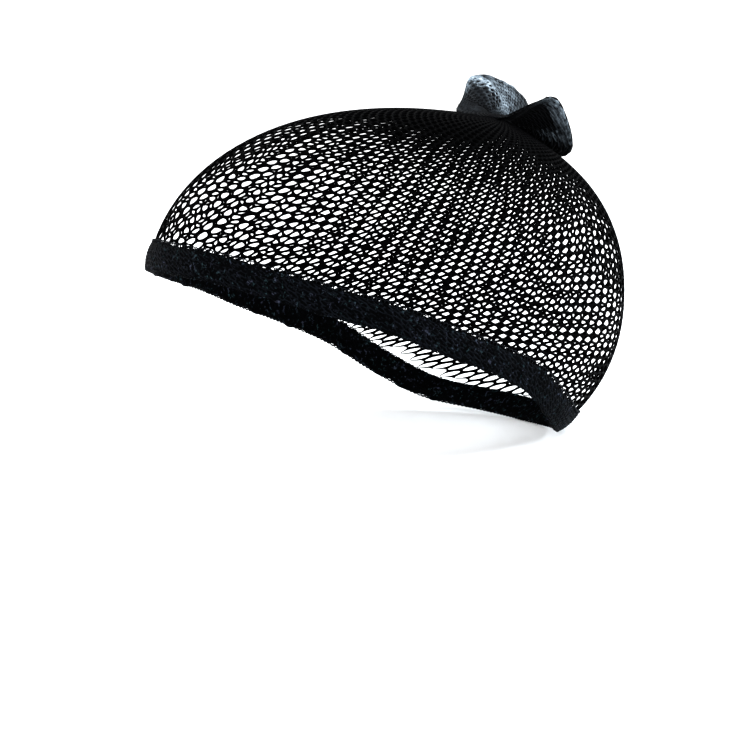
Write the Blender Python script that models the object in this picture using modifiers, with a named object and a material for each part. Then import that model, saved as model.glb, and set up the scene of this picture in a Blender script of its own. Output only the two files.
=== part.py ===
"""Fishnet liner cap that is worn under a wig, in the form it takes on a head.

Metres, +Z up. The wearer faces -Y, and the wearer's left is +X. The origin is the
centre of the head that holds the cap up.
"""
import math

import bmesh
import bpy
from mathutils import Vector

# Head form that the net is stretched over, measured from its centre
HEAD_HALF_WIDTH = 0.0750
HEAD_FRONT = 0.0971
HEAD_BACK = 0.0925
HEAD_TOP = 0.0718
HEAD_BOTTOM = 0.0702
HEAD_SQUARENESS = 2.18     # 2 is an ellipsoid, more is boxier
NECK_SHARE = 0.90          # share of HEAD_BOTTOM below which the neck runs straight

# Elastic edge band
BAND_WIDTH = 0.0105
BAND_THICKNESS = 0.0022
BAND_PROUD = 0.0006        # how far its flat stands outside the net
BAND_BULGE = 0.0005        # extra at the middle of its outer face
BAND_BEVEL = 0.0005        # rounding of its corners
BAND_FRONT_HEIGHT = 0.0250  # top edge above the origin, at the forehead
BAND_DROP = 0.0725         # from that edge at the forehead down to the nape
BAND_SECTIONS = 90

# Top edge of the band: turn from the forehead in degrees, share of BAND_DROP
BAND_EDGE = (
    ("turn", "drop"),
    (0, 0.000),
    (15, 0.011),
    (30, 0.069),
    (45, 0.156),
    (60, 0.251),
    (75, 0.372),
    (90, 0.483),
    (105, 0.610),
    (120, 0.786),
    (135, 0.917),
    (150, 0.968),
    (180, 1.000),
)

# Net crown: rows of hexagonal meshes, then the closely gathered top
NET_THICKNESS = 0.0012
NET_STRAND = 0.0026        # width of the net left between two openings
NET_COLUMNS = 30
NET_ROWS = 4
NET_OPEN_SHARE = 0.60      # of the way from the band to the gather
NET_ROW_SHRINK = 0.86      # each row's height to that of the row below
NET_ZIGZAG_SHARE = 0.30    # of a row's height
NET_FIRST_ZIGZAG = 0.35    # share of that in the line next to the band
NET_HEM = 0.0022           # plain strip along the band
GATHER_RINGS = 7
GATHER_FOLDS = 15
GATHER_FOLD_DEPTH = 0.0007
GATHER_FOLD_REACH = 0.030

# Place of the gather, as degrees back from straight up, and the tent around it
GATHER_LEAN = 36.5
GATHER_RADIUS = 0.0040
TENT_RISE = 0.0030
TENT_REACH = 0.0140

# Gathered tail, the ruffled end of the net above the gather
TAIL_REACH = 0.0300
TAIL_LIFT = 0.0175
TAIL_THICKNESS = 0.0012
TAIL_COLUMNS = 96
TAIL_RINGS = 7
TAIL_PLEATS = 16
TAIL_PLEAT_DEPTH = 0.0007

# Rim of the tail: turn about the gather in degrees from the front towards the
# wearer's left, share of TAIL_REACH along the head, share of TAIL_LIFT above it
TAIL_RIM = (
    ("turn", "reach", "lift"),
    (0, 0.63, 0.07),
    (25, 0.53, 0.02),
    (50, 0.40, 0.01),
    (70, 0.27, 0.04),
    (88, 0.23, 0.15),
    (104, 0.25, 0.36),
    (118, 0.30, 0.62),
    (134, 0.37, 0.98),
    (142, 0.48, 0.96),
    (150, 0.60, 0.79),
    (160, 0.76, 0.60),
    (172, 0.91, 0.50),
    (181, 1.00, 0.41),
    (197, 0.80, 0.36),
    (212, 0.52, 0.80),
    (232, 0.34, 0.90),
    (252, 0.27, 0.92),
    (275, 0.30, 0.93),
    (296, 0.43, 0.97),
    (310, 0.51, 0.86),
    (324, 0.50, 0.60),
    (340, 0.53, 0.32),
)

CLEARANCE = 0.0003         # between one piece and the next


def table_value(table, column, x, period=None):
    """Value of a table's column at x, on a smooth curve through its rows."""
    rows = [(row[0], row[table[0].index(column)]) for row in table[1:]]
    if period:
        x %= period
        rows = [(a - period, v) for a, v in rows[-2:]] + rows
        rows += [(a + period, v) for a, v in rows[2:4]]
    else:
        rows = [(2 * rows[0][0] - rows[1][0], rows[1][1])] + rows
        rows += [(2 * rows[-1][0] - rows[-2][0], rows[-2][1])]
    k = max(i for i in range(1, len(rows) - 2) if rows[i][0] <= x or i == 1)
    (a, va), (b, vb), (c, vc), (d, vd) = rows[k - 1:k + 3]
    t = (x - b) / (c - b)
    slope_b = (vc - va) / (c - a) * (c - b)
    slope_c = (vd - vb) / (d - b) * (c - b)
    return (vb * (1 + 2 * t) * (1 - t) ** 2 + slope_b * t * (1 - t) ** 2
            + vc * t * t * (3 - 2 * t) - slope_c * t * t * (1 - t))


def head_radius(direction):
    """Distance from the head's centre to the net's outer face along a direction."""
    x, y, z = direction
    depth = HEAD_FRONT if y < 0 else HEAD_BACK
    height = HEAD_TOP if z > 0 else HEAD_BOTTOM
    p = HEAD_SQUARENESS
    total = abs(x / HEAD_HALF_WIDTH) ** p + abs(y / depth) ** p + abs(z / height) ** p
    return total ** (-1 / p)


def head_point(turn, z):
    """Point of the head form at a turn from the forehead and a height."""
    p = HEAD_SQUARENESS
    across, along = math.sin(turn), -math.cos(turn)
    depth = HEAD_FRONT if along < 0 else HEAD_BACK
    level = min(abs(z) / (HEAD_TOP if z > 0 else HEAD_BOTTOM), NECK_SHARE)
    around = abs(across / HEAD_HALF_WIDTH) ** p + abs(along / depth) ** p
    reach = ((1 - level ** p) / around) ** (1 / p)
    return Vector((across * reach, along * reach, z))


lean = math.radians(GATHER_LEAN)
GATHER_AXIS = Vector((0, math.sin(lean), math.cos(lean)))
GATHER_FRONT = Vector((0, -math.cos(lean), math.sin(lean)))
GATHER_DISTANCE = head_radius(GATHER_AXIS)


def tent(arc):
    """How far the net is drawn up at an arc from the gather's centre."""
    return TENT_RISE * math.exp(-(arc / TENT_REACH) ** 2)


def cap_point(heading, angle, lift=0.0):
    """Point of the cap's outer face: heading about the gather, angle down from it."""
    outward = GATHER_FRONT * math.cos(heading) + Vector((1, 0, 0)) * math.sin(heading)
    direction = GATHER_AXIS * math.cos(angle) + outward * math.sin(angle)
    rise = tent(angle * GATHER_DISTANCE) + lift
    return direction * (head_radius(direction) + rise)


def edge_point(turn):
    """Point of the band's top edge at a turn from the forehead."""
    degrees = abs(math.degrees(turn))
    drop = table_value(BAND_EDGE, "drop", min(degrees, 360 - degrees))
    return head_point(turn, BAND_FRONT_HEIGHT - BAND_DROP * drop)


def edge_columns(count):
    """Heading and angle about the gather of evenly spaced points of that edge."""
    fine = 720
    turns = [2 * math.pi * i / fine for i in range(fine + 1)]
    points = [edge_point(t) for t in turns]
    length = [0.0]
    for a, b in zip(points, points[1:]):
        length.append(length[-1] + (b - a).length)
    columns = []
    k = 0
    for i in range(count):
        target = length[-1] * i / count
        while length[k + 1] <= target:
            k += 1
        share = (target - length[k]) / (length[k + 1] - length[k])
        d = edge_point(turns[k] + share * (turns[k + 1] - turns[k])).normalized()
        heading = math.atan2(d.x, d.dot(GATHER_FRONT))
        columns.append((heading, math.acos(d.dot(GATHER_AXIS))))
    return columns


def slide(heading, angle, distance):
    """Angle reached by going a distance down the cap from an angle."""
    steps = 6
    for _ in range(steps):
        here = cap_point(heading, angle)
        pace = (cap_point(heading, angle + 0.01) - here).length / 0.01
        angle += distance / steps / pace
    return angle


def face_normal(heading, angle):
    """Outward normal of the cap's outer face."""
    step = 0.01
    down = cap_point(heading, angle + step) - cap_point(heading, angle - step)
    across = cap_point(heading + step, angle) - cap_point(heading - step, angle)
    return down.cross(across).normalized()


def add_object(name, mesh, color, roughness):
    """Object in the cap's collection, with its own material."""
    material = bpy.data.materials.new(name)
    material.use_nodes = True
    shader = material.node_tree.nodes["Principled BSDF"]
    shader.inputs["Base Color"].default_value = (*color, 1)
    shader.inputs["Roughness"].default_value = roughness
    mesh.materials.append(material)
    obj = bpy.data.objects.new(name, mesh)
    cap.objects.link(obj)
    return obj


def mesh_from(bm, name):
    """Mesh of a bmesh whose faces all look away from the head's centre on the whole."""
    bmesh.ops.recalc_face_normals(bm, faces=bm.faces)
    outward = sum(f.normal.dot(f.calc_center_median()) * f.calc_area() for f in bm.faces)
    if outward < 0:
        bmesh.ops.reverse_faces(bm, faces=bm.faces)
    mesh = bpy.data.meshes.new(name)
    bm.to_mesh(mesh)
    bm.free()
    return mesh


def add_ring_faces(bm, lower, upper):
    """Quads between two rings with as many vertices."""
    count = len(lower)
    for i in range(count):
        j = (i + 1) % count
        bm.faces.new((lower[i], lower[j], upper[j], upper[i]))


def make_crown():
    """Stretched net: staggered hexagonal openings below a gathered top."""
    bm = bmesh.new()
    half_columns = edge_columns(2 * NET_COLUMNS)
    count = len(half_columns)
    top = GATHER_RADIUS / GATHER_DISTANCE
    edge = [slide(h, a, -CLEARANCE) for h, a in half_columns]
    hem = [slide(h, a, -NET_HEM) for (h, _), a in zip(half_columns, edge)]

    def vertex(i, share, lift=0.0):
        angle = hem[i] + (top - hem[i]) * share
        return bm.verts.new(cap_point(half_columns[i][0], angle, lift))

    # Zigzag lines between the rows, each with a low and a high level
    heights = [NET_ROW_SHRINK ** j for j in range(NET_ROWS)]
    unit = NET_OPEN_SHARE / (sum(heights) + NET_ZIGZAG_SHARE * heights[-1])
    low = [unit * sum(heights[:j]) for j in range(NET_ROWS + 1)]
    zigzag = []
    for j in range(NET_ROWS + 1):
        height = unit * heights[min(j, NET_ROWS - 1)]
        depth = NET_ZIGZAG_SHARE * height * (1 if j else NET_FIRST_ZIGZAG)
        levels = (low[j], low[j] + depth)
        zigzag.append([vertex(i, levels[(i + j) % 2]) for i in range(count)])

    border = [bm.verts.new(cap_point(h, a)) for (h, _), a in zip(half_columns, edge)]
    add_ring_faces(bm, border, zigzag[0])
    openings = []
    for j in range(NET_ROWS):
        for i in range(j % 2, count, 2):
            left, right = (i - 1) % count, (i + 1) % count
            below, above = zigzag[j], zigzag[j + 1]
            openings.append(bm.faces.new((below[left], below[i], below[right],
                                          above[right], above[i], above[left])))

    # Gathered top: radial folds that deepen towards the neck
    ring = zigzag[-1]
    for k in range(1, GATHER_RINGS + 1):
        share = NET_OPEN_SHARE + (1 - NET_OPEN_SHARE) * (k / GATHER_RINGS) ** 0.8
        next_ring = []
        for i in range(count):
            arc = (hem[i] + (top - hem[i]) * share) * GATHER_DISTANCE
            depth = GATHER_FOLD_DEPTH * math.exp(-(arc / GATHER_FOLD_REACH) ** 2)
            wave = math.cos(2 * math.pi * GATHER_FOLDS * i / count) - 1
            next_ring.append(vertex(i, share, depth * wave / 2))
        add_ring_faces(bm, ring, next_ring)
        ring = next_ring
    bm.faces.new(ring)

    bm.normal_update()
    bmesh.ops.inset_individual(bm, faces=openings, thickness=NET_STRAND / 2,
                               use_even_offset=True)
    bmesh.ops.delete(bm, geom=openings, context="FACES")
    obj = add_object("net_crown", mesh_from(bm, "net_crown"), (0.008, 0.009, 0.012), 0.5)
    shell = obj.modifiers.new("wall", "SOLIDIFY")
    shell.thickness = NET_THICKNESS
    shell.offset = -1
    return obj


def make_band():
    """Elastic hem: one closed section swept round the edge of the net."""
    bm = bmesh.new()
    inner = BAND_PROUD - BAND_THICKNESS
    bevel = BAND_BEVEL / BAND_WIDTH
    # Section: share of the width from the top edge down, height over the net
    section = [(1, inner + BAND_BEVEL), (1 - bevel, inner), (bevel, inner),
               (0, inner + BAND_BEVEL), (0, BAND_PROUD - BAND_BEVEL), (bevel, BAND_PROUD)]
    section += [(s, BAND_PROUD + BAND_BULGE * math.sin(math.pi * s)) for s in (0.3, 0.5, 0.7)]
    section += [(1 - bevel, BAND_PROUD), (1, BAND_PROUD - BAND_BEVEL)]
    rings = []
    for heading, angle in edge_columns(BAND_SECTIONS):
        ring = []
        for share, height in section:
            down = slide(heading, angle, share * BAND_WIDTH)
            foot = cap_point(heading, down)
            ring.append(bm.verts.new(foot + face_normal(heading, down) * height))
        rings.append(ring)
    for i, ring in enumerate(rings):
        add_ring_faces(bm, ring, rings[(i + 1) % len(rings)])
    return add_object("elastic_edge_band", mesh_from(bm, "elastic_edge_band"),
                      (0.012, 0.013, 0.016), 0.8)


def make_tail():
    """Ruffled end of the net: a flared funnel whose rim rises and falls in folds."""
    bm = bmesh.new()
    start = GATHER_RADIUS
    ring = None
    for k in range(TAIL_RINGS + 1):
        s = k / TAIL_RINGS
        next_ring = []
        for i in range(TAIL_COLUMNS):
            turn = 360 * i / TAIL_COLUMNS
            reach = TAIL_REACH * table_value(TAIL_RIM, "reach", turn, 360)
            lift = TAIL_LIFT * table_value(TAIL_RIM, "lift", turn, 360)
            arc = start + (reach - start) * s
            pleat = 1 + math.cos(2 * math.pi * TAIL_PLEATS * i / TAIL_COLUMNS)
            rise = max(lift, 0) * s ** 1.15 + TAIL_PLEAT_DEPTH * pleat * s * (1.5 - s)
            point = cap_point(math.radians(turn), arc / GATHER_DISTANCE, rise + CLEARANCE)
            next_ring.append(bm.verts.new(point))
        if ring:
            add_ring_faces(bm, ring, next_ring)
        else:
            bm.faces.new(next_ring)
        ring = next_ring
    obj = add_object("gathered_tail", mesh_from(bm, "gathered_tail"), (0.010, 0.012, 0.018), 0.45)
    shell = obj.modifiers.new("wall", "SOLIDIFY")
    shell.thickness = TAIL_THICKNESS
    shell.offset = 1
    return obj


for old in list(bpy.data.objects):
    bpy.data.objects.remove(old)
cap = bpy.data.collections.new("wig_liner_cap")
bpy.context.scene.collection.children.link(cap)
make_crown()
make_band()
make_tail()
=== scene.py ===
"""Looks of a fishnet liner cap that is worn under a wig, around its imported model.

Metres, +Z up. The cap's front is -Y and its left side is +X. The origin is the
middle of the room inside it.
"""
import math
import random

import bmesh
import bpy
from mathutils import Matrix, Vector, noise


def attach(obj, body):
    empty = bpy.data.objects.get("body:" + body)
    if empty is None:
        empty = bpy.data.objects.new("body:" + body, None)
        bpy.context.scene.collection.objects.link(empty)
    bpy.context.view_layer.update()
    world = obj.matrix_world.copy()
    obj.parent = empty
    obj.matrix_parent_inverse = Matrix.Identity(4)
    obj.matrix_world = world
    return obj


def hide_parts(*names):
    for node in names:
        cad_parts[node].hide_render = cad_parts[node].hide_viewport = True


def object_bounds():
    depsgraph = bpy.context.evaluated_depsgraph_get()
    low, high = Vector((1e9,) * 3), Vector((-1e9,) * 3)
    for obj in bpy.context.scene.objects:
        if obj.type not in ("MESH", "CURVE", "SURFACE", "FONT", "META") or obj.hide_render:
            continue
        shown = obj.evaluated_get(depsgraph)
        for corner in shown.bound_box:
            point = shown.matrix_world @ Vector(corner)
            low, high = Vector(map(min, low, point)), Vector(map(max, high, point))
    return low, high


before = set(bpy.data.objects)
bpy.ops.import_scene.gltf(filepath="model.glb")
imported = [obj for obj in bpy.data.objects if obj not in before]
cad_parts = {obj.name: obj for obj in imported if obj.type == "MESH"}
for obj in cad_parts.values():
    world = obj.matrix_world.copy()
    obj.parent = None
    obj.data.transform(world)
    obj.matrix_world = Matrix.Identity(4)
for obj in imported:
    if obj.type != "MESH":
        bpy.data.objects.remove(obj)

CAD_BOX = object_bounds()
MM = 0.001

# Rounded form that the cap is stretched to, and its pieces, as in the part's source
CAP_HALF_WIDTH = 0.0750
CAP_FRONT = 0.0971
CAP_BACK = 0.0925
CAP_TOP = 0.0718
CAP_BOTTOM = 0.0702
CAP_SQUARENESS = 2.18
SIDES_CLOSE_UP_TO = 0.90      # share of its height; straight down from there
BAND_WIDTH = 0.0105
BAND_THICKNESS = 0.0022
BAND_PROUD = 0.0006           # outside the net's outer face
BAND_BULGE = 0.0005
BAND_FRONT_HEIGHT = 0.0250
BAND_DROP = 0.0725
GATHER_LEAN = 36.5            # degrees back from straight up
TENT_RISE = 0.0030            # of the net, where the gather pulls it up
TENT_REACH = 0.0140
GATHER_RADIUS = 0.0040
TAIL_REACH = 0.0300
TAIL_LIFT = 0.0175
TAIL_PLEATS = 16
TAIL_PLEAT_DEPTH = 0.0007
CLEARANCE = 0.0003

# Top edge of the band: turn from the front in degrees, share of BAND_DROP
BAND_EDGE = (
    ("turn", "drop"),
    (0, 0.000), (15, 0.011), (30, 0.069), (45, 0.156), (60, 0.251), (75, 0.372),
    (90, 0.483), (105, 0.610), (120, 0.786), (135, 0.917), (150, 0.968), (180, 1.000),
)

# Rim of the tail: turn about the gather, share of TAIL_REACH, share of TAIL_LIFT
TAIL_RIM = (
    ("turn", "reach", "lift"),
    (0, 0.63, 0.07), (25, 0.53, 0.02), (50, 0.40, 0.01), (70, 0.27, 0.04),
    (88, 0.23, 0.15), (104, 0.25, 0.36), (118, 0.30, 0.62), (134, 0.37, 0.98),
    (142, 0.48, 0.96), (150, 0.61, 0.79), (160, 0.78, 0.60), (168, 0.89, 0.53),
    (175, 0.99, 0.46), (180, 1.02, 0.34), (185, 0.98, 0.15), (191, 0.84, 0.05),
    (199, 0.66, 0.25), (212, 0.50, 0.80), (232, 0.34, 0.90), (252, 0.27, 0.92),
    (275, 0.32, 0.97), (286, 0.36, 1.00), (296, 0.43, 1.02), (306, 0.50, 0.98),
    (314, 0.55, 0.86), (322, 0.52, 0.68), (330, 0.51, 0.50), (340, 0.53, 0.32),
)

# How the stretched net lies: its rows of meshes slant, so the band cuts them off.
# Angle from the gather, in degrees, of four rows at each heading.
NET_LAY = (
    ("heading", "top", "crown", "side", "hem"),
    (0, 46.5, 87, 110.5, 144),
    (30, 43.0, 78.5, 97.5, 130),
    (60, 37.5, 69, 86.5, 117),
    (90, 25.0, 55.5, 74, 103),
    (120, 16.5, 38.5, 58.5, 90.2),
    (150, 12.5, 30, 46, 79),
    (180, 11.5, 27, 41, 76),
    (210, 14.0, 34, 50, 83),
    (240, 21.0, 50, 68, 100),
    (270, 33.0, 72, 92, 124),
    (300, 43.0, 87, 110, 142),
    (330, 46.5, 91, 115, 148),
)
LAY_ROWS = (("top", -14), ("crown", 0), ("side", 8), ("hem", 22))
FIRST_ROW = -30               # the row that would shrink to the gather's centre
OPEN_FROM_ROW = -28           # rows above this one are bunched shut
LAST_ROW = 34
NET_COLUMNS = 96
COLUMN_START = 3.15           # heading of column 0, in degrees
COLUMN_TWIST = 0.0155         # degrees for each row squared, away from TWIST_ROW
TWIST_ROW = 2
NET_STRAND = 1.15 * MM        # before its sides are rounded down by a quarter
NET_STRAND_HEIGHT = 1.00 * MM
NET_UNEVEN = 0.035            # share of a mesh's size
NET_SUNK = 0.4                # share of a strand's height below the cap's face
NET_FOOT = 0.45               # share of the band's width that the net goes under
WELD = 0.004 * MM             # points nearer than this are one
SMALL_ANGLE = 0.01            # radians, to take a slope over


def bell(x):
    return math.exp(-x ** 2)


def clamp(x):
    return min(max(x, 0), 1)


def signed_turn(degrees):
    """The same turn, between -180 and 180 degrees."""
    return (degrees + 180) % 360 - 180


def table_value(table, column, x, period=None):
    """Value of a table's column at x, on a smooth curve through its rows."""
    rows = [(row[0], row[table[0].index(column)]) for row in table[1:]]
    if period:
        x %= period
        rows = [(a - period, v) for a, v in rows[-2:]] + rows
        rows += [(a + period, v) for a, v in rows[2:4]]
    else:
        rows = [(2 * rows[0][0] - rows[1][0], rows[1][1])] + rows
        rows += [(2 * rows[-1][0] - rows[-2][0], rows[-2][1])]
    k = max(i for i in range(1, len(rows) - 2) if rows[i][0] <= x or i == 1)
    (a, va), (b, vb), (c, vc), (d, vd) = rows[k - 1:k + 3]
    t = (x - b) / (c - b)
    slope_b = (vc - va) / (c - a) * (c - b)
    slope_c = (vd - vb) / (d - b) * (c - b)
    return (vb * (1 + 2 * t) * (1 - t) ** 2 + slope_b * t * (1 - t) ** 2
            + vc * t * t * (3 - 2 * t) - slope_c * t * t * (1 - t))


def cap_radius(direction):
    """Distance from the origin to the rounded form."""
    x, y, z = direction
    depth = CAP_FRONT if y < 0 else CAP_BACK
    height = CAP_TOP if z > 0 else CAP_BOTTOM
    p = CAP_SQUARENESS
    total = abs(x / CAP_HALF_WIDTH) ** p + abs(y / depth) ** p + abs(z / height) ** p
    return total ** (-1 / p)


def side_point(turn, z):
    """Point of the rounded form at a height, a turn round from the front."""
    p = CAP_SQUARENESS
    across, along = math.sin(turn), -math.cos(turn)
    depth = CAP_FRONT if along < 0 else CAP_BACK
    level = min(abs(z) / (CAP_TOP if z > 0 else CAP_BOTTOM), SIDES_CLOSE_UP_TO)
    around = abs(across / CAP_HALF_WIDTH) ** p + abs(along / depth) ** p
    reach = ((1 - level ** p) / around) ** (1 / p)
    return Vector((across * reach, along * reach, z))


lean = math.radians(GATHER_LEAN)
GATHER_AXIS = Vector((0, math.sin(lean), math.cos(lean)))
GATHER_FRONT = Vector((0, -math.cos(lean), math.sin(lean)))
GATHER_DISTANCE = cap_radius(GATHER_AXIS)


def cap_point(heading, angle, lift=0.0):
    """Point of the cap's outer face: heading about the gather, angle down from it."""
    outward = GATHER_FRONT * math.cos(heading) + Vector((1, 0, 0)) * math.sin(heading)
    direction = GATHER_AXIS * math.cos(angle) + outward * math.sin(angle)
    tent = TENT_RISE * bell(angle * GATHER_DISTANCE / TENT_REACH)
    return direction * (cap_radius(direction) + tent + lift)


def face_normal(heading, angle):
    """Outward direction of the cap's outer face."""
    down = cap_point(heading, angle + SMALL_ANGLE) - cap_point(heading, angle - SMALL_ANGLE)
    across = cap_point(heading + SMALL_ANGLE, angle) - cap_point(heading - SMALL_ANGLE, angle)
    return down.cross(across).normalized()


def edge_point(turn):
    """Point of the band's top edge, a turn round from the front."""
    degrees = abs(math.degrees(turn))
    drop = table_value(BAND_EDGE, "drop", min(degrees, 360 - degrees))
    return side_point(turn, BAND_FRONT_HEIGHT - BAND_DROP * drop)


EDGE_STEPS = 720              # to measure its length by
EDGE_ROWS = 72                # in the table of its angles


def edge_columns(count):
    """Heading and angle about the gather of evenly spaced points of that top edge."""
    turns = [2 * math.pi * i / EDGE_STEPS for i in range(EDGE_STEPS + 1)]
    points = [edge_point(t) for t in turns]
    length = [0.0]
    for a, b in zip(points, points[1:]):
        length.append(length[-1] + (b - a).length)
    columns = []
    k = 0
    for i in range(count):
        target = length[-1] * i / count
        while length[k + 1] <= target:
            k += 1
        share = (target - length[k]) / (length[k + 1] - length[k])
        d = edge_point(turns[k] + share * (turns[k + 1] - turns[k])).normalized()
        columns.append((math.atan2(d.x, d.dot(GATHER_FRONT)), math.acos(d.dot(GATHER_AXIS))))
    return columns


def slide(heading, angle, distance):
    """Angle reached by going a distance down the cap from an angle."""
    steps = 4
    for _ in range(steps):
        here = cap_point(heading, angle)
        pace = (cap_point(heading, angle + SMALL_ANGLE) - here).length / SMALL_ANGLE
        angle += distance / steps / pace
    return angle


EDGE_TABLE = [("heading", "angle")]
EDGE_TABLE += sorted((math.degrees(h) % 360, a) for h, a in edge_columns(EDGE_ROWS))


def edge_angle(heading):
    """Angle of the band's top edge at a heading, both in radians."""
    return table_value(EDGE_TABLE, "angle", math.degrees(heading), 360)


# ---------------------------------------------------------------- node helpers

def shader_material(name, color, roughness):
    material = bpy.data.materials.new(name)
    material.use_nodes = True
    shader = material.node_tree.nodes["Principled BSDF"]
    shader.inputs["Base Color"].default_value = (*color, 1)
    shader.inputs["Roughness"].default_value = roughness
    material.diffuse_color = (*color, 1)
    return material, shader


def add_node(tree, kind, settings=None, **inputs):
    """Node with its settings, and its inputs set or linked by their names."""
    node = tree.nodes.new(kind)
    for key, value in (settings or {}).items():
        setattr(node, key, value)
    for key, value in inputs.items():
        socket = node.inputs[int(key[1:])] if key[1:].isdigit() else (
            node.inputs[key.replace("_", " ")])
        if isinstance(value, bpy.types.NodeSocket):
            tree.links.new(value, socket)
        else:
            socket.default_value = value
    return node


def geometry_tree(name, *sockets):
    """Geometry Nodes tree with a geometry input and output and named inputs."""
    tree = bpy.data.node_groups.new(name, "GeometryNodeTree")
    tree.interface.new_socket("Geometry", in_out="INPUT", socket_type="NodeSocketGeometry")
    for label, kind, value in sockets:
        item = tree.interface.new_socket(label, in_out="INPUT", socket_type="NodeSocket" + kind)
        if value is not None:
            item.default_value = value
    tree.interface.new_socket("Geometry", in_out="OUTPUT", socket_type="NodeSocketGeometry")
    return tree, tree.nodes.new("NodeGroupInput").outputs


def end_tree(tree, geometry, material):
    """Realize the instances, give the faces their finish and put them out."""
    real = add_node(tree, "GeometryNodeRealizeInstances", Geometry=geometry)
    smooth = add_node(tree, "GeometryNodeSetShadeSmooth", Geometry=real.outputs[0])
    done = add_node(tree, "GeometryNodeSetMaterial", Geometry=smooth.outputs[0],
                    Material=material)
    out = tree.nodes.new("NodeGroupOutput")
    tree.links.new(done.outputs[0], out.inputs[0])


def through_tree(name, mesh, tree, **values):
    """Plain mesh piece that a tree makes out of a mesh."""
    piece = bpy.data.objects.new(name, mesh)
    bpy.context.scene.collection.objects.link(piece)
    modifier = piece.modifiers.new("make", "NODES")
    modifier.node_group = tree
    for item in tree.interface.items_tree:
        label = item.name.replace(" ", "_")
        if item.in_out == "INPUT" and label in values:
            modifier[item.identifier] = values[label]
    evaluated = piece.evaluated_get(bpy.context.evaluated_depsgraph_get())
    made = bpy.data.meshes.new_from_object(evaluated)
    piece.modifiers.clear()
    piece.data = made
    return piece


def mesh_of(name, points, faces):
    mesh = bpy.data.meshes.new(name)
    mesh.from_pydata([tuple(p) for p in points], [], faces)
    mesh.update()
    return mesh


def face_outwards(mesh):
    bm = bmesh.new()
    bm.from_mesh(mesh)
    bmesh.ops.recalc_face_normals(bm, faces=bm.faces)
    bm.to_mesh(mesh)
    bm.free()


def add_piece(name, mesh, material):
    mesh.materials.append(material)
    mesh.shade_smooth()
    piece = bpy.data.objects.new(name, mesh)
    bpy.context.scene.collection.objects.link(piece)
    return piece


# ------------------------------------------------------------------- materials

def two_tones(tree, value, low, high):
    """Colour between two stops, each a position and a colour."""
    ramp = tree.nodes.new("ShaderNodeValToRGB")
    tree.links.new(value, ramp.inputs[0])
    for stop, (position, color) in zip(ramp.color_ramp.elements, (low, high)):
        stop.position = position
        stop.color = (*color, 1)
    return ramp.outputs[0]


def thread_finish(name, color, roughness, gloss, grain, painted_highlight=None):
    """Black yarn: fine fibres across it, and, where a highlight colour is given, a painted
    highlight: that pale colour mixed in by a share stored on each point, broken up by noise.
    """
    material, shader = shader_material(name, color, roughness)
    shader.inputs["Specular IOR Level"].default_value = gloss
    tree = material.node_tree
    place = tree.nodes.new("ShaderNodeTexCoord").outputs["Object"]
    fibres = add_node(tree, "ShaderNodeTexNoise", Vector=place, Scale=grain, Detail=3.0,
                      Roughness=0.65)
    bump = add_node(tree, "ShaderNodeBump", Strength=0.35, Distance=0.15 * MM,
                    Height=fibres.outputs[0])
    tree.links.new(bump.outputs[0], shader.inputs["Normal"])
    patches = add_node(tree, "ShaderNodeTexNoise", Vector=place, Scale=grain * 0.22, Detail=2.0)
    base = two_tones(tree, patches.outputs[0], (0.30, [c * 0.55 for c in color]),
                     (0.72, [c * 1.6 for c in color]))
    # Painted highlight: a pale blue-white colour mixed into the black yarn where the lit crests
    # and faces catch the light, broken up by noise.
    if painted_highlight:
        bent = add_node(tree, "ShaderNodeAttribute", {"attribute_name": "bent"})
        highlight_breakup = add_node(tree, "ShaderNodeTexNoise", Vector=place, Scale=420.0, Detail=3.0,
                          Roughness=0.7)
        spread = add_node(tree, "ShaderNodeMapRange", Value=highlight_breakup.outputs[0], From_Min=0.30,
                          From_Max=0.66)
        share = add_node(tree, "ShaderNodeMath", {"operation": "MULTIPLY"},
                         _0=bent.outputs["Fac"], _1=spread.outputs[0])
        base = add_node(tree, "ShaderNodeMix", {"data_type": "RGBA"}, Factor=share.outputs[0],
                        _6=base, _7=(*painted_highlight, 1)).outputs[2]
    tree.links.new(base, shader.inputs["Base Color"])
    shine = add_node(tree, "ShaderNodeMapRange", Value=fibres.outputs[0],
                     To_Min=roughness - 0.10, To_Max=roughness + 0.14)
    tree.links.new(shine.outputs[0], shader.inputs["Roughness"])
    return material


def knitted_elastic():
    """Black ribbed elastic: pebbly loops, with blue-grey flecks of bare rubber thread."""
    material = thread_finish("black_knitted_elastic", (0.0014, 0.0017, 0.0022), roughness=0.60,
                             gloss=0.03, grain=1500)
    tree = material.node_tree
    shader = tree.nodes["Principled BSDF"]
    place = tree.nodes.new("ShaderNodeTexCoord").outputs["Object"]
    loops = add_node(tree, "ShaderNodeTexVoronoi", {"feature": "SMOOTH_F1"}, Vector=place,
                     Scale=900.0, Smoothness=0.4)
    bump = add_node(tree, "ShaderNodeBump", {"invert": True}, Strength=0.9, Distance=0.35 * MM,
                    Height=loops.outputs["Distance"])
    fine = shader.inputs["Normal"].links[0].from_node
    tree.links.new(bump.outputs[0], fine.inputs["Normal"])
    flecks = add_node(tree, "ShaderNodeTexNoise", Vector=place, Scale=620.0, Detail=2.0,
                      Roughness=0.7)
    mask = add_node(tree, "ShaderNodeMapRange", Value=flecks.outputs[0], From_Min=0.56,
                    From_Max=0.74)
    hue = add_node(tree, "ShaderNodeTexNoise", Vector=place, Scale=240.0)
    green_grey, blue_grey = (0.034, 0.060, 0.066), (0.054, 0.060, 0.084)
    tint = two_tones(tree, hue.outputs[0], (0.42, green_grey), (0.58, blue_grey))
    base = shader.inputs["Base Color"].links[0].from_socket
    mix = add_node(tree, "ShaderNodeMix", {"data_type": "RGBA"}, Factor=mask.outputs[0],
                   _6=base, _7=tint)
    tree.links.new(mix.outputs[2], shader.inputs["Base Color"])
    return material


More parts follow.
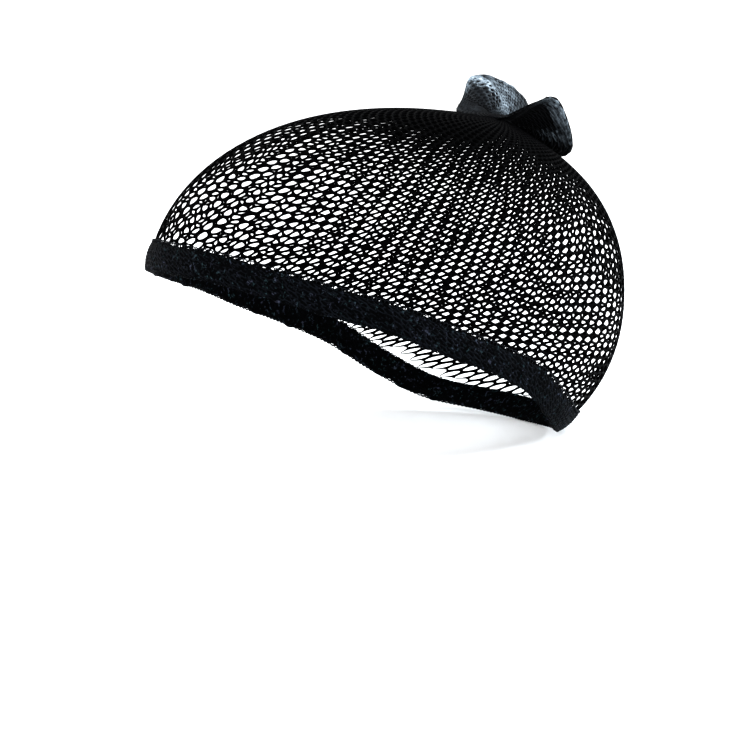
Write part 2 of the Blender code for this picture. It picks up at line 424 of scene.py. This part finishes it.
NET_FINISH = thread_finish("black_nylon_net", (0.0010, 0.0010, 0.0013), roughness=0.60,
                           gloss=0.02, grain=2600)
# The gathered net's pale blue-white extra colour is a painted highlight on its lit crests and
# faces.
TAIL_FINISH = thread_finish("black_nylon_net_gathered", (0.0014, 0.0015, 0.0022), roughness=0.45,
                            gloss=0.08, grain=2600, painted_highlight=(0.48, 0.56, 0.63))
BAND_FINISH = knitted_elastic()
FOLD_FINISH = thread_finish("black_net_over_elastic", (0.0052, 0.0064, 0.0086), roughness=0.55,
                            gloss=0.05, grain=2000)
STITCH_FINISH = thread_finish("grey_black_overlock_thread", (0.005, 0.006, 0.008),
                              roughness=0.55, gloss=0.10, grain=3000)


# ------------------------------------------------------------------ net pieces

def lay_angle(heading, row):
    """Angle from the gather of a row of the net at a heading, in degrees."""
    rows = [(FIRST_ROW, 0.0)]
    rows += [(at, table_value(NET_LAY, label, heading, 360)) for label, at in LAY_ROWS]
    for end, inner, far in ((0, 1, -60), (-1, -2, 50)):
        (r1, a1), (r2, a2) = rows[inner], rows[end]
        rows.insert(0 if far < 0 else len(rows), (far, a2 + (a2 - a1) / (r2 - r1) * (far - r2)))
    return table_value([("row", "angle")] + rows, "angle", row)


def net_place(column, row):
    """Heading and angle, in radians, of a mesh's centre in the stretched net."""
    twist = COLUMN_TWIST * (row - TWIST_ROW) ** 2
    heading = 360 * column / NET_COLUMNS + COLUMN_START + twist
    return math.radians(heading), math.radians(lay_angle(heading, row))


def lattice(name, columns, rows, point_at, **values):
    """Triangles between the centres of a net's meshes, closed round, with named values."""
    index = {}
    points = []
    stored = {label: [] for label in values}
    for row in rows:
        for column in range(columns):
            point = point_at(column, row)
            if point is not None:
                index[column, row] = len(points)
                points.append(point)
                for label, value_at in values.items():
                    stored[label].append(value_at(column, row))
    faces = []
    for row in rows:
        for column in range(columns):
            right = (column + 1) % columns
            here, below = (column, row), (column, row + 1)
            beside, across = (right, row), (right, row + 1)
            for corners in ((here, below, across), (here, across, beside)):
                if all(c in index for c in corners):
                    faces.append([index[c] for c in corners])
    mesh = mesh_of(name, points, faces)
    for label, numbers in stored.items():
        mesh.attributes.new(label, "FLOAT", "POINT").data.foreach_set("value", numbers)
    return mesh


def strand_tree():
    """Turns a lattice of mesh centres into a net of rounded strands.

    A strand is as wide as Strand width times the lattice's own value "bulk".
    """
    least_opening = 0.3        # keeps the inset of a sharp corner short
    shut_inset = 0.88          # share of the way to its middle where a full mesh shuts
    border_flatter = 0.4       # share of the height that the net's border lacks
    tree, given = geometry_tree(
        "net_strands", ("Strand width", "Float", 1.0 * MM), ("Strand height", "Float", 1.0 * MM),
        ("Rounding", "Int", 1), ("Corner crease", "Float", 0.8), ("Finish", "Material", None))

    def math_node(kind, *values):
        node = add_node(tree, "ShaderNodeMath", {"operation": kind},
                        **{f"_{i}": v for i, v in enumerate(values)})
        return node.outputs[0]

    def vector_node(kind, *values, out=0):
        node = add_node(tree, "ShaderNodeVectorMath", {"operation": kind},
                        **{f"_{i}": v for i, v in enumerate(values)})
        return node.outputs[out]

    def scaled(vector, factor):
        return add_node(tree, "ShaderNodeVectorMath", {"operation": "SCALE"}, _0=vector,
                        Scale=factor).outputs[0]

    def captured(geometry, domain, kind, label, value):
        node = tree.nodes.new("GeometryNodeCaptureAttribute")
        node.domain = domain
        node.capture_items.new(kind, label)
        tree.links.new(geometry, node.inputs["Geometry"])
        tree.links.new(value, node.inputs[label])
        return node.outputs["Geometry"], node.outputs[label]

    cells = add_node(tree, "GeometryNodeDualMesh", Mesh=given["Geometry"])
    sides = tree.nodes.new("GeometryNodeInputMeshEdgeNeighbors")
    lone = add_node(tree, "FunctionNodeCompare", {"data_type": "INT", "operation": "EQUAL"},
                    A=sides.outputs[0], B=1)
    bordered, border = captured(cells.outputs[0], "POINT", "BOOLEAN", "Border", lone.outputs[0])
    apart = add_node(tree, "GeometryNodeSplitEdges", Mesh=bordered)

    # A corner of a mesh's opening: half a strand in from both of its sides
    place = tree.nodes.new("GeometryNodeInputPosition").outputs[0]
    normal = tree.nodes.new("GeometryNodeInputNormal").outputs[0]
    index = tree.nodes.new("GeometryNodeInputIndex").outputs[0]
    corner = add_node(tree, "GeometryNodeCornersOfVertex", Vertex_Index=index)
    inward = []
    for step in (-1, 1):
        other = add_node(tree, "GeometryNodeOffsetCornerInFace",
                         Corner_Index=corner.outputs["Corner Index"], Offset=step)
        vertex = add_node(tree, "GeometryNodeVertexOfCorner", Corner_Index=other.outputs[0])
        there = add_node(tree, "GeometryNodeFieldAtIndex",
                         {"data_type": "FLOAT_VECTOR", "domain": "POINT"},
                         Index=vertex.outputs[0], Value=place).outputs[0]
        ends = (place, there) if step < 0 else (there, place)
        along = vector_node("NORMALIZE", vector_node("SUBTRACT", *ends))
        inward.append(vector_node("CROSS_PRODUCT", normal, along))
    both_ways = vector_node("ADD", *inward)
    opening = math_node("ADD", vector_node("DOT_PRODUCT", *inward, out="Value"), 1.0)
    bulk = add_node(tree, "GeometryNodeInputNamedAttribute", {"data_type": "FLOAT"},
                    Name="bulk").outputs[0]
    half = math_node("MULTIPLY", math_node("MULTIPLY", given["Strand width"], 0.5), bulk)
    opening = math_node("MAXIMUM", opening, least_opening)
    true_inset = scaled(both_ways, math_node("DIVIDE", half, opening))
    middle = add_node(tree, "GeometryNodeFieldOnDomain",
                      {"data_type": "FLOAT_VECTOR", "domain": "FACE"}, Value=place).outputs[0]
    to_middle = vector_node("SUBTRACT", middle, place)
    filled = math_node("DIVIDE", vector_node("LENGTH", true_inset, out="Value"),
                       vector_node("LENGTH", to_middle, out="Value"))
    shut = add_node(tree, "ShaderNodeMapRange", {"interpolation_type": "SMOOTHSTEP"},
                    Value=filled, From_Min=0.45, From_Max=1.0)
    inset = add_node(tree, "ShaderNodeMix", {"data_type": "VECTOR"}, Factor=shut.outputs[0],
                     _4=true_inset, _5=scaled(to_middle, shut_inset)).outputs[1]
    ready, inset = captured(apart.outputs[0], "POINT", "VECTOR", "Inset", inset)
    split = add_node(tree, "GeometryNodeExtrudeMesh", {"mode": "FACES"}, Mesh=ready,
                     Offset_Scale=0.0, Individual=True)
    moved = add_node(tree, "GeometryNodeSetPosition", Geometry=split.outputs["Mesh"],
                     Selection=split.outputs["Top"], Offset=inset)
    rimmed, rim = captured(moved.outputs[0], "POINT", "BOOLEAN", "Rim", split.outputs["Top"])
    ring = add_node(tree, "GeometryNodeDeleteGeometry", {"domain": "FACE"}, Geometry=rimmed,
                    Selection=split.outputs["Top"])
    flat = add_node(tree, "GeometryNodeMergeByDistance", Geometry=ring.outputs[0],
                    Distance=WELD).outputs[0]

    # The ridge of each strand goes up on one face and down on the other, and the
    # net's outer border gets a wall between the two
    ridge = math_node("MULTIPLY", math_node("SUBTRACT", 1.0, rim),
                      math_node("SUBTRACT", 1.0, math_node("MULTIPLY", border, border_flatter)))
    rise = math_node("MULTIPLY", math_node("MULTIPLY", given["Strand height"], 0.5), ridge)
    flat, lift = captured(flat, "POINT", "VECTOR", "Lift", scaled(normal, rise))
    upper = add_node(tree, "GeometryNodeSetPosition", Geometry=flat, Offset=lift)
    lower = add_node(tree, "GeometryNodeSetPosition", Geometry=flat, Offset=scaled(lift, -1.0))
    turned = add_node(tree, "GeometryNodeFlipFaces", Mesh=lower.outputs[0])
    inner = add_node(tree, "FunctionNodeBooleanMath", {"operation": "NOT"}, _0=rim)
    outer = add_node(tree, "FunctionNodeBooleanMath", {"operation": "AND"}, _0=lone.outputs[0],
                     _1=inner.outputs[0])
    wall = add_node(tree, "GeometryNodeExtrudeMesh", {"mode": "EDGES"}, Mesh=upper.outputs[0],
                    Selection=outer.outputs[0], Offset_Scale=0.0)
    closed = add_node(tree, "GeometryNodeSetPosition", Geometry=wall.outputs["Mesh"],
                      Selection=wall.outputs["Top"], Offset=scaled(lift, -2.0))
    both = tree.nodes.new("GeometryNodeJoinGeometry")
    for part in (closed.outputs[0], turned.outputs[0]):
        tree.links.new(part, both.inputs[0])
    sewn = add_node(tree, "GeometryNodeMergeByDistance", Geometry=both.outputs[0],
                    Distance=WELD)
    held = math_node("MULTIPLY", rim, given["Corner crease"])
    soft = add_node(tree, "GeometryNodeSubdivisionSurface", Mesh=sewn.outputs[0],
                    Level=given["Rounding"], Vertex_Crease=held)
    end_tree(tree, soft.outputs[0], given["Finish"])
    return tree


random.seed(11)
STRANDS = strand_tree()

GATHER_FOLDS = 15
GATHER_FOLD_DEPTH = 0.22 * MM
GATHER_FOLD_REACH = 0.03


def gather_fold(heading, angle):
    """Depth of the folds that run out from the gather into the net."""
    depth = GATHER_FOLD_DEPTH * bell(angle * GATHER_DISTANCE / GATHER_FOLD_REACH)
    return depth * (math.cos(GATHER_FOLDS * heading) - 1)


def crown_point(column, row):
    heading, angle = net_place(column + random.uniform(-1, 1) * NET_UNEVEN,
                               row + random.uniform(-1, 1) * NET_UNEVEN)
    if angle > slide(heading, edge_angle(heading), NET_FOOT * BAND_WIDTH):
        return None
    return cap_point(heading, angle, gather_fold(heading, angle) - NET_SUNK * NET_STRAND_HEIGHT)


def strand_bulk(column, row):
    """Yarn is thinnest at the front, where the net is stretched most."""
    at_front, more_behind, more_at_gather = 0.98, 0.12, 0.30
    loose_from_row, loose_rows = -2, 12
    heading, _ = net_place(column, row)
    loose = clamp((loose_from_row - row) / loose_rows)
    return at_front + more_behind * (1 - math.cos(heading)) + more_at_gather * loose


def quarter_pieces(piece):
    """The net cut in four through its gather, so that each piece stays small."""
    whole = bmesh.new()
    whole.from_mesh(piece.data)
    made = []
    for k, (left, front) in enumerate(((1, 1), (1, -1), (-1, -1), (-1, 1))):
        part = whole.copy()
        for side in (Vector((-left, 0, 0)), GATHER_FRONT * -front):
            everything = part.verts[:] + part.edges[:] + part.faces[:]
            bmesh.ops.bisect_plane(part, geom=everything, dist=1e-7, plane_co=(0, 0, 0),
                                   plane_no=side, clear_outer=True)
            ends = [e for e in part.edges if e.is_boundary]
            bmesh.ops.holes_fill(part, edges=ends, sides=0)
            for e in ends:
                e.smooth = False
        for f in part.faces:
            f.material_index = 0
        mesh = bpy.data.meshes.new(f"{piece.name}_{k + 1}")
        part.to_mesh(mesh)
        part.free()
        made.append(add_piece(f"{piece.name}_{k + 1}", mesh, NET_FINISH))
    whole.free()
    bpy.data.objects.remove(piece)
    return made


crown = lattice("crown_lattice", NET_COLUMNS, range(OPEN_FROM_ROW, LAST_ROW), crown_point,
                bulk=strand_bulk)
net = through_tree("net_crown_strands", crown, STRANDS, Strand_width=NET_STRAND,
                   Strand_height=NET_STRAND_HEIGHT, Rounding=1, Finish=NET_FINISH)
net_parts = quarter_pieces(net)


def gather_disc():
    """Bunched middle of the net, where its meshes are drawn shut in fine pleats."""
    around, rings = 192, 16
    pleat_depth, sunk = 0.22 * MM, 0.5 * NET_STRAND_HEIGHT
    points, faces = [], []
    for k in range(rings + 1):
        row = FIRST_ROW + 1 + (OPEN_FROM_ROW + 1.5 - FIRST_ROW) * k / rings
        for i in range(around):
            heading, angle = net_place(NET_COLUMNS * i / around, row)
            pleat = pleat_depth * (1 if i % 2 else -1)
            points.append(cap_point(heading, angle, gather_fold(heading, angle) + pleat - sunk))
    for k in range(rings):
        for i in range(around):
            j = (i + 1) % around
            a, b = k * around, (k + 1) * around
            faces.append((a + i, b + i, b + j, a + j))
    faces.append(list(range(around)))
    piece = add_piece("net_gather_pleats", mesh_of("gather", points, faces), TAIL_FINISH)
    wall = piece.modifiers.new("wall", "SOLIDIFY")
    wall.thickness = 0.5 * MM
    wall.offset = -1
    return piece


gather = gather_disc()


# ------------------------------------------------------------------------ tail

TAIL_COLUMNS = 56
TAIL_ROWS = 13
TAIL_STRAND = 1.05 * MM
TAIL_STRAND_HEIGHT = 0.8 * MM
TAIL_CURVE = 1.15             # it rises a little more towards its rim
CREASE_CURVE = 0.6            # a crease turns most near its foot
CREASE_ENDS = 0.7             # a crease is blunt at both ends
FLAT_TURN, FLAT_SPREAD = 20, 40      # where it lies down on the net, in degrees

# Creases of the tail: turn at its foot and at its rim, width in degrees, height
TAIL_CREASES = (
    (200, 311, 8, 2.0 * MM),      # crest that catches the light, above the pocket
    (282, 326, 15, -4.0 * MM),    # the pocket
    (186, 163, 5, 1.3 * MM),
    (128, 118, 7, -0.9 * MM),
    (232, 242, 7, 0.7 * MM),
)

# Painted highlights, pale strips along the lit crests and faces of the tail's outer layer: turn at
# its foot and at its rim, width, strength, start
TOP_PAINTED_HIGHLIGHTS = (
    (200, 311, 7, 1.00, 0.10),
    (208, 268, 30, 0.62, 0.05),
    (262, 300, 10, 0.14, 0.05),
    (300, 312, 14, 0.75, 0.84),
    (355, 355, 25, 0.035, 0.20),
)
# Painted highlights on the lining: a pale band and a lit crease line on the right lobe, with the
# same columns
UNDERSIDE_PAINTED_HIGHLIGHTS = (
    (140, 146, 16, 0.45, 0.74),
    (186, 163, 4, 0.26, 0.40),
)


def off_line(turn, s, foot, rim):
    """Degrees from a line that goes from a turn at the foot to one at the rim."""
    return signed_turn(turn - foot - (rim - foot) * s ** CREASE_CURVE)


def tail_point(turn, s, lift):
    """Point of the tail: turn about the gather, share of the way from foot to rim."""
    reach = TAIL_REACH * table_value(TAIL_RIM, "reach", turn, 360)
    rise = max(TAIL_LIFT * table_value(TAIL_RIM, "lift", turn, 360), 0) * s ** TAIL_CURVE
    arc = GATHER_RADIUS + (reach - GATHER_RADIUS) * s
    pleat = 1 + math.cos(math.radians(TAIL_PLEATS * turn))
    rise += TAIL_PLEAT_DEPTH * pleat * s * (1.5 - s)
    for foot, rim, width, height in TAIL_CREASES:
        rise += (height * bell(off_line(turn, s, foot, rim) / width)
                 * math.sin(math.pi * s) ** CREASE_ENDS)
    flattened, closed_up, pressed_in = 0.8, 0.5, 1.3 * MM
    down = bell(signed_turn(turn - FLAT_TURN) / FLAT_SPREAD)
    rise = max(rise, 0) * (1 - flattened * down) + (CLEARANCE + lift) * (1 - closed_up * down)
    rise -= pressed_in * down * s * s
    return cap_point(math.radians(turn), arc / GATHER_DISTANCE, rise)


def tail_highlight_amount(painted_highlight, turn, s):
    """How much painted highlight the net gets there, from 0 to 1."""
    fade = 0.25                # of the way from foot to rim
    bent = 0.0
    for foot, rim, width, strength, start in painted_highlight:
        along = clamp((s - start) / fade)
        bent = max(bent, strength * along * bell(off_line(turn, s, foot, rim) / width))
    return bent


def tail_layer(name, shift, lift, painted_highlight, open_turn):
    """One of the tail's two layers of net, its meshes shut except about open_turn."""
    rows_below, depth_below = 3, 16      # rows and mm of its foot, hidden in the gather
    open_within, shut_over = 65, 25      # degrees on either side of open_turn
    least, when_open, more_when_shut = 0.80, 0.66, 0.28

    def place(column, row):
        s = (row + shift) / TAIL_ROWS
        return 360 * (column + 0.5 * row + shift) / TAIL_COLUMNS % 360, min(s, 1.0)

    def point_at(column, row):
        turn, s = place(column, row)
        sunk = min(s, 0) * depth_below * MM
        return tail_point(turn, max(s, 0), lift) + GATHER_AXIS * sunk

    def bulk(column, row):
        turn, _ = place(column, row)
        wide = (point_at(column + 1, row) - point_at(column, row)).length
        shut = clamp((abs(signed_turn(turn - open_turn)) - open_within) / shut_over)
        return max(least, (when_open + more_when_shut * shut) * wide / TAIL_STRAND)

    # Share of painted highlight at each point, stored on the lattice for the finish to mix in.
    def bent(column, row):
        turn, s = place(column, row)
        return tail_highlight_amount(painted_highlight, turn, max(s, 0))

    layer = lattice(name + "_lattice", TAIL_COLUMNS, range(-rows_below, TAIL_ROWS + 2), point_at,
                    bulk=bulk, bent=bent)
    return through_tree(name, layer, STRANDS, Strand_width=TAIL_STRAND,
                        Strand_height=TAIL_STRAND_HEIGHT, Rounding=1, Finish=TAIL_FINISH)


# Each layer of the tail carries its own painted highlights.
tail_outer = tail_layer("gathered_tail_net", 0.0, 0.55 * MM, TOP_PAINTED_HIGHLIGHTS, 285)
tail_inner = tail_layer("gathered_tail_net_lining", 0.5, 0.0, UNDERSIDE_PAINTED_HIGHLIGHTS, 140)


# ------------------------------------------------------------------------ band

BAND_SECTIONS = 840
BAND_RIBS = 8
BAND_STEPS = 24               # across its outer face
BAND_BEVEL = 0.0006           # along the edges of its inner face
BAND_ROLL = 0.0004            # how far its outer face turns in at its edges


def band_wave(i, waves, phase):
    """A wave that goes round the band a whole number of times, at section i."""
    return math.sin(2 * math.pi * waves * i / BAND_SECTIONS + phase)


def make_band():
    """Knitted elastic hem: fine ribs across its face and an uneven lower edge."""
    columns = edge_columns(BAND_SECTIONS)
    inner = BAND_PROUD - BAND_THICKNESS
    points, faces = [], []
    # Round one section: share of the width and height, None on the ribbed outer face
    section = [(1.0, inner + BAND_BEVEL), (0.96, inner), (0.5, inner), (0.04, inner),
               (0.0, inner + BAND_BEVEL)]
    section += [(s / BAND_STEPS, None) for s in range(BAND_STEPS + 1)]
    for i, (heading, angle) in enumerate(columns):
        scallop = (0.24 * MM * band_wave(i, 61, 0.4)
                   + 0.28 * MM * band_wave(i, 37, 1.9)
                   + 0.60 * MM * noise.noise(cap_point(heading, angle) / (4 * MM)))
        start = 0.22 * MM * band_wave(i, 97, 0.9)
        wide = BAND_WIDTH + scallop - start
        for share, height in section:
            down = slide(heading, angle, start + share * wide)
            if height is None:
                height = BAND_PROUD - BAND_ROLL
                height += BAND_ROLL * min(1, 14 * min(share, 1 - share))
                height += BAND_BULGE * math.sin(math.pi * share)
                rib = abs(math.sin(math.pi * BAND_RIBS * share))
                knit = band_wave(i, 210, math.pi * int(BAND_RIBS * share))
                height += 0.15 * MM * (rib - 0.6) + 0.12 * MM * knit * rib
                height += 0.20 * MM * noise.noise(cap_point(heading, down) / (2.2 * MM))
            points.append(cap_point(heading, down) + face_normal(heading, down) * height)
    size = len(section)
    for i in range(BAND_SECTIONS):
        j = (i + 1) % BAND_SECTIONS
        for k in range(size):
            n = (k + 1) % size
            faces.append((i * size + k, j * size + k, j * size + n, i * size + n))
    mesh = mesh_of("band", points, faces)
    face_outwards(mesh)
    return add_piece("elastic_band_knit", mesh, BAND_FINISH)


band = make_band()


COVER_COLUMNS = 170
COVER_ROWS = 6
COVER_STRAND = 0.70 * MM
COVER_STRAND_HEIGHT = 0.55 * MM
COVER_SUNK = 0.06 * MM
COVER_UNEVEN = 0.22 * MM
COVER_EDGE = edge_columns(COVER_COLUMNS * 2)


def cover_point(column, row):
    """Net turned over the elastic, drawn up into small meshes on its outer face."""
    step = int(2 * column + row) % (2 * COVER_COLUMNS)
    heading, top = COVER_EDGE[step]
    share = clamp((row - 0.4) / (COVER_ROWS - 0.2))
    angle = slide(heading, top, share * BAND_WIDTH)
    uneven = noise.noise(cap_point(heading, angle) / (6 * MM))
    lift = BAND_PROUD + BAND_BULGE * math.sin(math.pi * share) - COVER_SUNK + COVER_UNEVEN * uneven
    return cap_point(heading, angle) + face_normal(heading, angle) * lift


folded = lattice("cover_lattice", COVER_COLUMNS, range(0, COVER_ROWS + 2), cover_point,
                 bulk=lambda column, row: 1.0)
cover = through_tree("net_over_band", folded, STRANDS, Strand_width=COVER_STRAND,
                     Strand_height=COVER_STRAND_HEIGHT, Rounding=1, Finish=FOLD_FINISH)


def edge_path(name, count, down, lift):
    """Points along the band, down from its top edge and lifted off it, each with its
    outward normal and its way round."""
    points, normals = [], []
    for heading, angle in edge_columns(count):
        low = slide(heading, angle, down)
        normal = face_normal(heading, low)
        points.append(cap_point(heading, low) + normal * lift)
        normals.append(normal)
    mesh = bpy.data.meshes.new(name)
    mesh.from_pydata([tuple(p) for p in points], [(i, (i + 1) % count) for i in range(count)], [])
    way = [(points[(i + 1) % count] - points[i - 1]).normalized() for i in range(count)]
    for label, values in (("outward", normals), ("way", way)):
        attribute = mesh.attributes.new(label, "FLOAT_VECTOR", "POINT")
        attribute.data.foreach_set("vector", [c for v in values for c in v])
    return mesh


def stitch_shape():
    """One overlock loop: an arch of thread over the band's edge, open downwards."""
    thread, sides, bends = 0.21 * MM, 6, 8
    half_width, height, bow = 0.85 * MM, 1.0 * MM, 0.25 * MM
    first_turn, whole_turn = -35, 250
    up = Vector((0, 0, 1))
    path = []
    for k in range(bends + 1):
        a = math.radians(first_turn + whole_turn * k / bends)
        path.append(Vector((half_width * math.cos(a), height * math.sin(a),
                            bow * math.sin(math.pi * k / bends))))
    points, faces = [], []
    for k, point in enumerate(path):
        size = thread * (0.5 if k in (0, bends) else 1)
        way = (path[min(k + 1, bends)] - path[max(k - 1, 0)]).normalized()
        side = way.cross(up).normalized()
        for i in range(sides):
            a = 2 * math.pi * i / sides
            points.append(point + (side * math.cos(a) + up * math.sin(a)) * size)
    for k in range(bends):
        for i in range(sides):
            n = (i + 1) % sides
            a, b = k * sides, (k + 1) * sides
            faces.append((a + i, b + i, b + n, a + n))
    faces.append(list(range(sides)))
    faces.append([bends * sides + i for i in reversed(range(sides))])
    mesh = mesh_of("stitch", points, faces)
    face_outwards(mesh)
    return bpy.data.objects.new("stitch_shape", mesh)


def stitch_tree(shape):
    """Sets one stitch on each point of a path, leaning with the way round."""
    tree, given = geometry_tree("edge_stitches", ("Lean", "Float", 0.5), ("Seed", "Int", 3),
                                ("Finish", "Material", None))
    way = add_node(tree, "GeometryNodeInputNamedAttribute", {"data_type": "FLOAT_VECTOR"},
                   Name="way")
    out = add_node(tree, "GeometryNodeInputNamedAttribute", {"data_type": "FLOAT_VECTOR"},
                   Name="outward")
    first = add_node(tree, "FunctionNodeAlignRotationToVector", {"axis": "Z"},
                     Vector=out.outputs[0])
    both = add_node(tree, "FunctionNodeAlignRotationToVector", {"axis": "X", "pivot_axis": "Z"},
                    Rotation=first.outputs[0], Vector=way.outputs[0])
    turn = add_node(tree, "FunctionNodeRandomValue", {"data_type": "FLOAT"}, Seed=given["Seed"],
                    _2=-0.35, _3=0.35)
    leaned = add_node(tree, "ShaderNodeMath", {"operation": "ADD"}, _0=turn.outputs[1],
                      _1=given["Lean"])
    spin = add_node(tree, "FunctionNodeAxisAngleToRotation", Axis=(0, 0, 1),
                    Angle=leaned.outputs[0])
    local = add_node(tree, "FunctionNodeRotateRotation", {"rotation_space": "LOCAL"},
                     Rotation=both.outputs[0], Rotate_By=spin.outputs[0])
    info = add_node(tree, "GeometryNodeObjectInfo", Object=shape)
    points = add_node(tree, "GeometryNodeMeshToPoints", Mesh=given["Geometry"])
    laid = add_node(tree, "GeometryNodeInstanceOnPoints", Points=points.outputs[0],
                    Instance=info.outputs["Geometry"], Rotation=local.outputs[0])
    end_tree(tree, laid.outputs[0], given["Finish"])
    return tree


stitch = stitch_shape()
STITCHES = stitch_tree(stitch)
stitches = through_tree("edge_overlock_loops", edge_path("edge", 330, 0.1 * MM, 0.30 * MM),
                        STITCHES, Lean=0.2, Seed=5, Finish=STITCH_FINISH)
hem_stitches = through_tree("hem_overlock_loops",
                            edge_path("hem", 300, BAND_WIDTH - 1.0 * MM, 0.25 * MM),
                            STITCHES, Lean=math.pi, Seed=9, Finish=BAND_FINISH)
bpy.data.objects.remove(stitch)


# --------------------------------------------------------- where pieces belong

PLACES = [(part, "net_crown", "net") for part in (*net_parts, gather)]
PLACES += [(part, "gathered_tail", "tail_net") for part in (tail_outer, tail_inner)]
PLACES += [(part, "elastic_edge_band", "band")
           for part in (band, cover, stitches, hem_stitches)]
for piece, node, slot in PLACES:
    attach(piece, "root")
    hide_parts(node)

# ------------------------------------------------------ floor, light and camera

FLOOR = CAD_BOX[0][2] - 0.3 * MM     # just under the cap


def make_floor():
    bm = bmesh.new()
    bmesh.ops.create_grid(bm, x_segments=8, y_segments=8, size=6)
    bmesh.ops.translate(bm, verts=bm.verts, vec=(0, 0, FLOOR))
    mesh = bpy.data.meshes.new("floor")
    bm.to_mesh(mesh)
    bm.free()
    material, _ = shader_material("pale_floor", (0.92, 0.92, 0.92), 0.9)
    floor = add_piece("floor", mesh, material)


def add_light(name, turn, height, distance, size, power, color=(1, 1, 1)):
    """Round softbox that faces the cap, a turn round from its front."""
    light = bpy.data.lights.new(name, "AREA")
    light.shape = "DISK"
    light.size = size
    light.energy = power
    light.color = color
    lamp = bpy.data.objects.new(name, light)
    a = math.radians(turn)
    lamp.location = (math.sin(a) * distance, -math.cos(a) * distance, height)
    lamp.rotation_euler = (-Vector(lamp.location)).to_track_quat("-Z", "Y").to_euler()
    bpy.context.scene.collection.objects.link(lamp)


CAMERA_TURN = 58.13           # degrees from the front, to the cap's left
CAMERA_RISE = 8.97            # degrees
CAMERA_DISTANCE = 1.3
CAMERA_ASIDE = -0.00633       # of the point it aims at, as is the height
CAMERA_HEIGHT = -0.0304
CAMERA_SENSOR = 36            # mm
CAMERA_FOCAL = 4.52 * CAMERA_SENSOR


def make_camera():
    data = bpy.data.cameras.new("camera")
    camera = bpy.data.objects.new("camera", data)
    turn, rise = math.radians(CAMERA_TURN), math.radians(CAMERA_RISE)
    back = Vector((math.sin(turn) * math.cos(rise), -math.cos(turn) * math.cos(rise),
                   math.sin(rise)))
    right = Vector((math.cos(turn), math.sin(turn), 0))
    aim = right * CAMERA_ASIDE + Vector((0, 0, CAMERA_HEIGHT))
    camera.location = aim + back * CAMERA_DISTANCE
    camera.rotation_euler = back.to_track_quat("Z", "Y").to_euler()
    data.sensor_width = CAMERA_SENSOR
    data.lens = CAMERA_FOCAL
    data.clip_end = 20
    bpy.context.scene.collection.objects.link(camera)
    bpy.context.scene.camera = camera


make_floor()
make_camera()
cool = (0.86, 0.94, 1.0)
add_light("key_softbox", 10, height=1.3, distance=1.4, size=1.2, power=12)
add_light("side_softbox", 117, height=1.3, distance=1.1, size=0.4, power=12, color=cool)
add_light("back_softbox", 158, height=0.50, distance=1.5, size=0.4, power=20, color=cool)
world = bpy.data.worlds.new("soft_white_room")
world.use_nodes = True
background = world.node_tree.nodes["Background"]
background.inputs["Color"].default_value = (1, 1, 1, 1)
background.inputs["Strength"].default_value = 1.0
bpy.context.scene.world = world
bpy.context.scene.view_settings.view_transform = "Standard"
bpy.context.scene.view_settings.look = "High Contrast"
